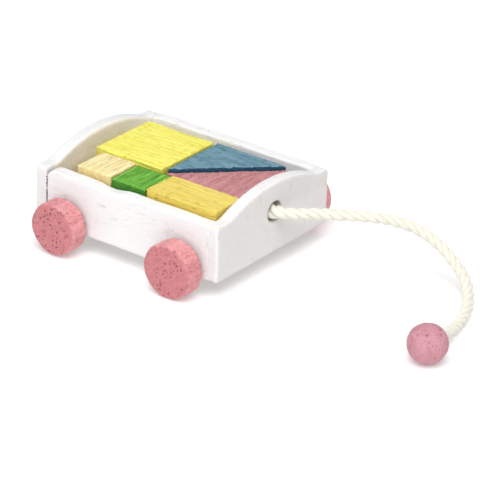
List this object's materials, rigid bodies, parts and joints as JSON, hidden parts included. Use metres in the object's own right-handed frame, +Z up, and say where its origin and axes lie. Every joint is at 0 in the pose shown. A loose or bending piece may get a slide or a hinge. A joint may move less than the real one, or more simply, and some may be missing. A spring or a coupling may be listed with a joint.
{
  "type": "block wagon with pull cord",
  "caption": "Small white wooden tray wagon with arched ends, thick pink wheels, loose coloured blocks and a twisted pull cord that ends in a ball.",
  "frame": {"origin": "on the ground under the middle of the tray, the cord and its ball left aside", "axes": "+X towards the front board with the cord hole, +Y to the wagon's left, +Z up"},
  "size_m": [0.0907, 0.0458, 0.0183],
  "materials": {
    "white_paint": "satin paint on wood",
    "bare_dowel": "raw",
    "pink_stain": "matt stain on wood",
    "lemon_stain": "matt stain on wood",
    "straw_stain": "matt stain on wood",
    "natural_wood": "raw",
    "green_stain": "matt stain on wood",
    "blue_stain": "matt stain on wood",
    "rose_stain": "matt stain on wood",
    "cotton": "twisted cotton"
  },
  "bodies": {
    "tray": {"front_board": "white_paint", "rear_board": "white_paint", "left_side_board": "white_paint", "right_side_board": "white_paint", "floor_board": "white_paint", "pull_cord": "cotton", "cord_knot": "cotton", "pull_ball": "pink_stain"},
    "front_wheels": {"front_axle": "bare_dowel", "front_left_wheel": "pink_stain", "front_right_wheel": "pink_stain"},
    "rear_wheels": {"rear_axle": "bare_dowel", "rear_left_wheel": "pink_stain", "rear_right_wheel": "pink_stain"},
    "large_yellow": {"large_yellow_block": "lemon_stain"},
    "long_yellow": {"long_yellow_block": "straw_stain"},
    "natural": {"natural_block": "natural_wood"},
    "green": {"green_block": "green_stain"},
    "blue_triangle": {"blue_triangle_block": "blue_stain"},
    "pink_triangle": {"pink_triangle_block": "rose_stain"}
  },
  "joints": [
    {"name": "front_axle_spin", "type": "hinge", "parent": "tray", "child": "front_wheels", "pos_m": [0.0138, 0, 0.0055], "axis": [0, 1, 0], "continuous": true},
    {"name": "rear_axle_spin", "type": "hinge", "parent": "tray", "child": "rear_wheels", "pos_m": [-0.0138, 0, 0.0055], "axis": [0, 1, 0], "continuous": true},
    {"name": "large_yellow_lift", "type": "slide", "parent": "tray", "child": "large_yellow", "axis": [0, 0, 1], "range_m": [0, 0.015]},
    {"name": "long_yellow_lift", "type": "slide", "parent": "tray", "child": "long_yellow", "axis": [0, 0, 1], "range_m": [0, 0.015]},
    {"name": "natural_lift", "type": "slide", "parent": "tray", "child": "natural", "axis": [0, 0, 1], "range_m": [0, 0.015]},
    {"name": "green_lift", "type": "slide", "parent": "tray", "child": "green", "axis": [0, 0, 1], "range_m": [0, 0.015]},
    {"name": "blue_triangle_lift", "type": "slide", "parent": "tray", "child": "blue_triangle", "axis": [0, 0, 1], "range_m": [0, 0.015]},
    {"name": "pink_triangle_lift", "type": "slide", "parent": "tray", "child": "pink_triangle", "axis": [0, 0, 1], "range_m": [0, 0.015]}
  ]
}
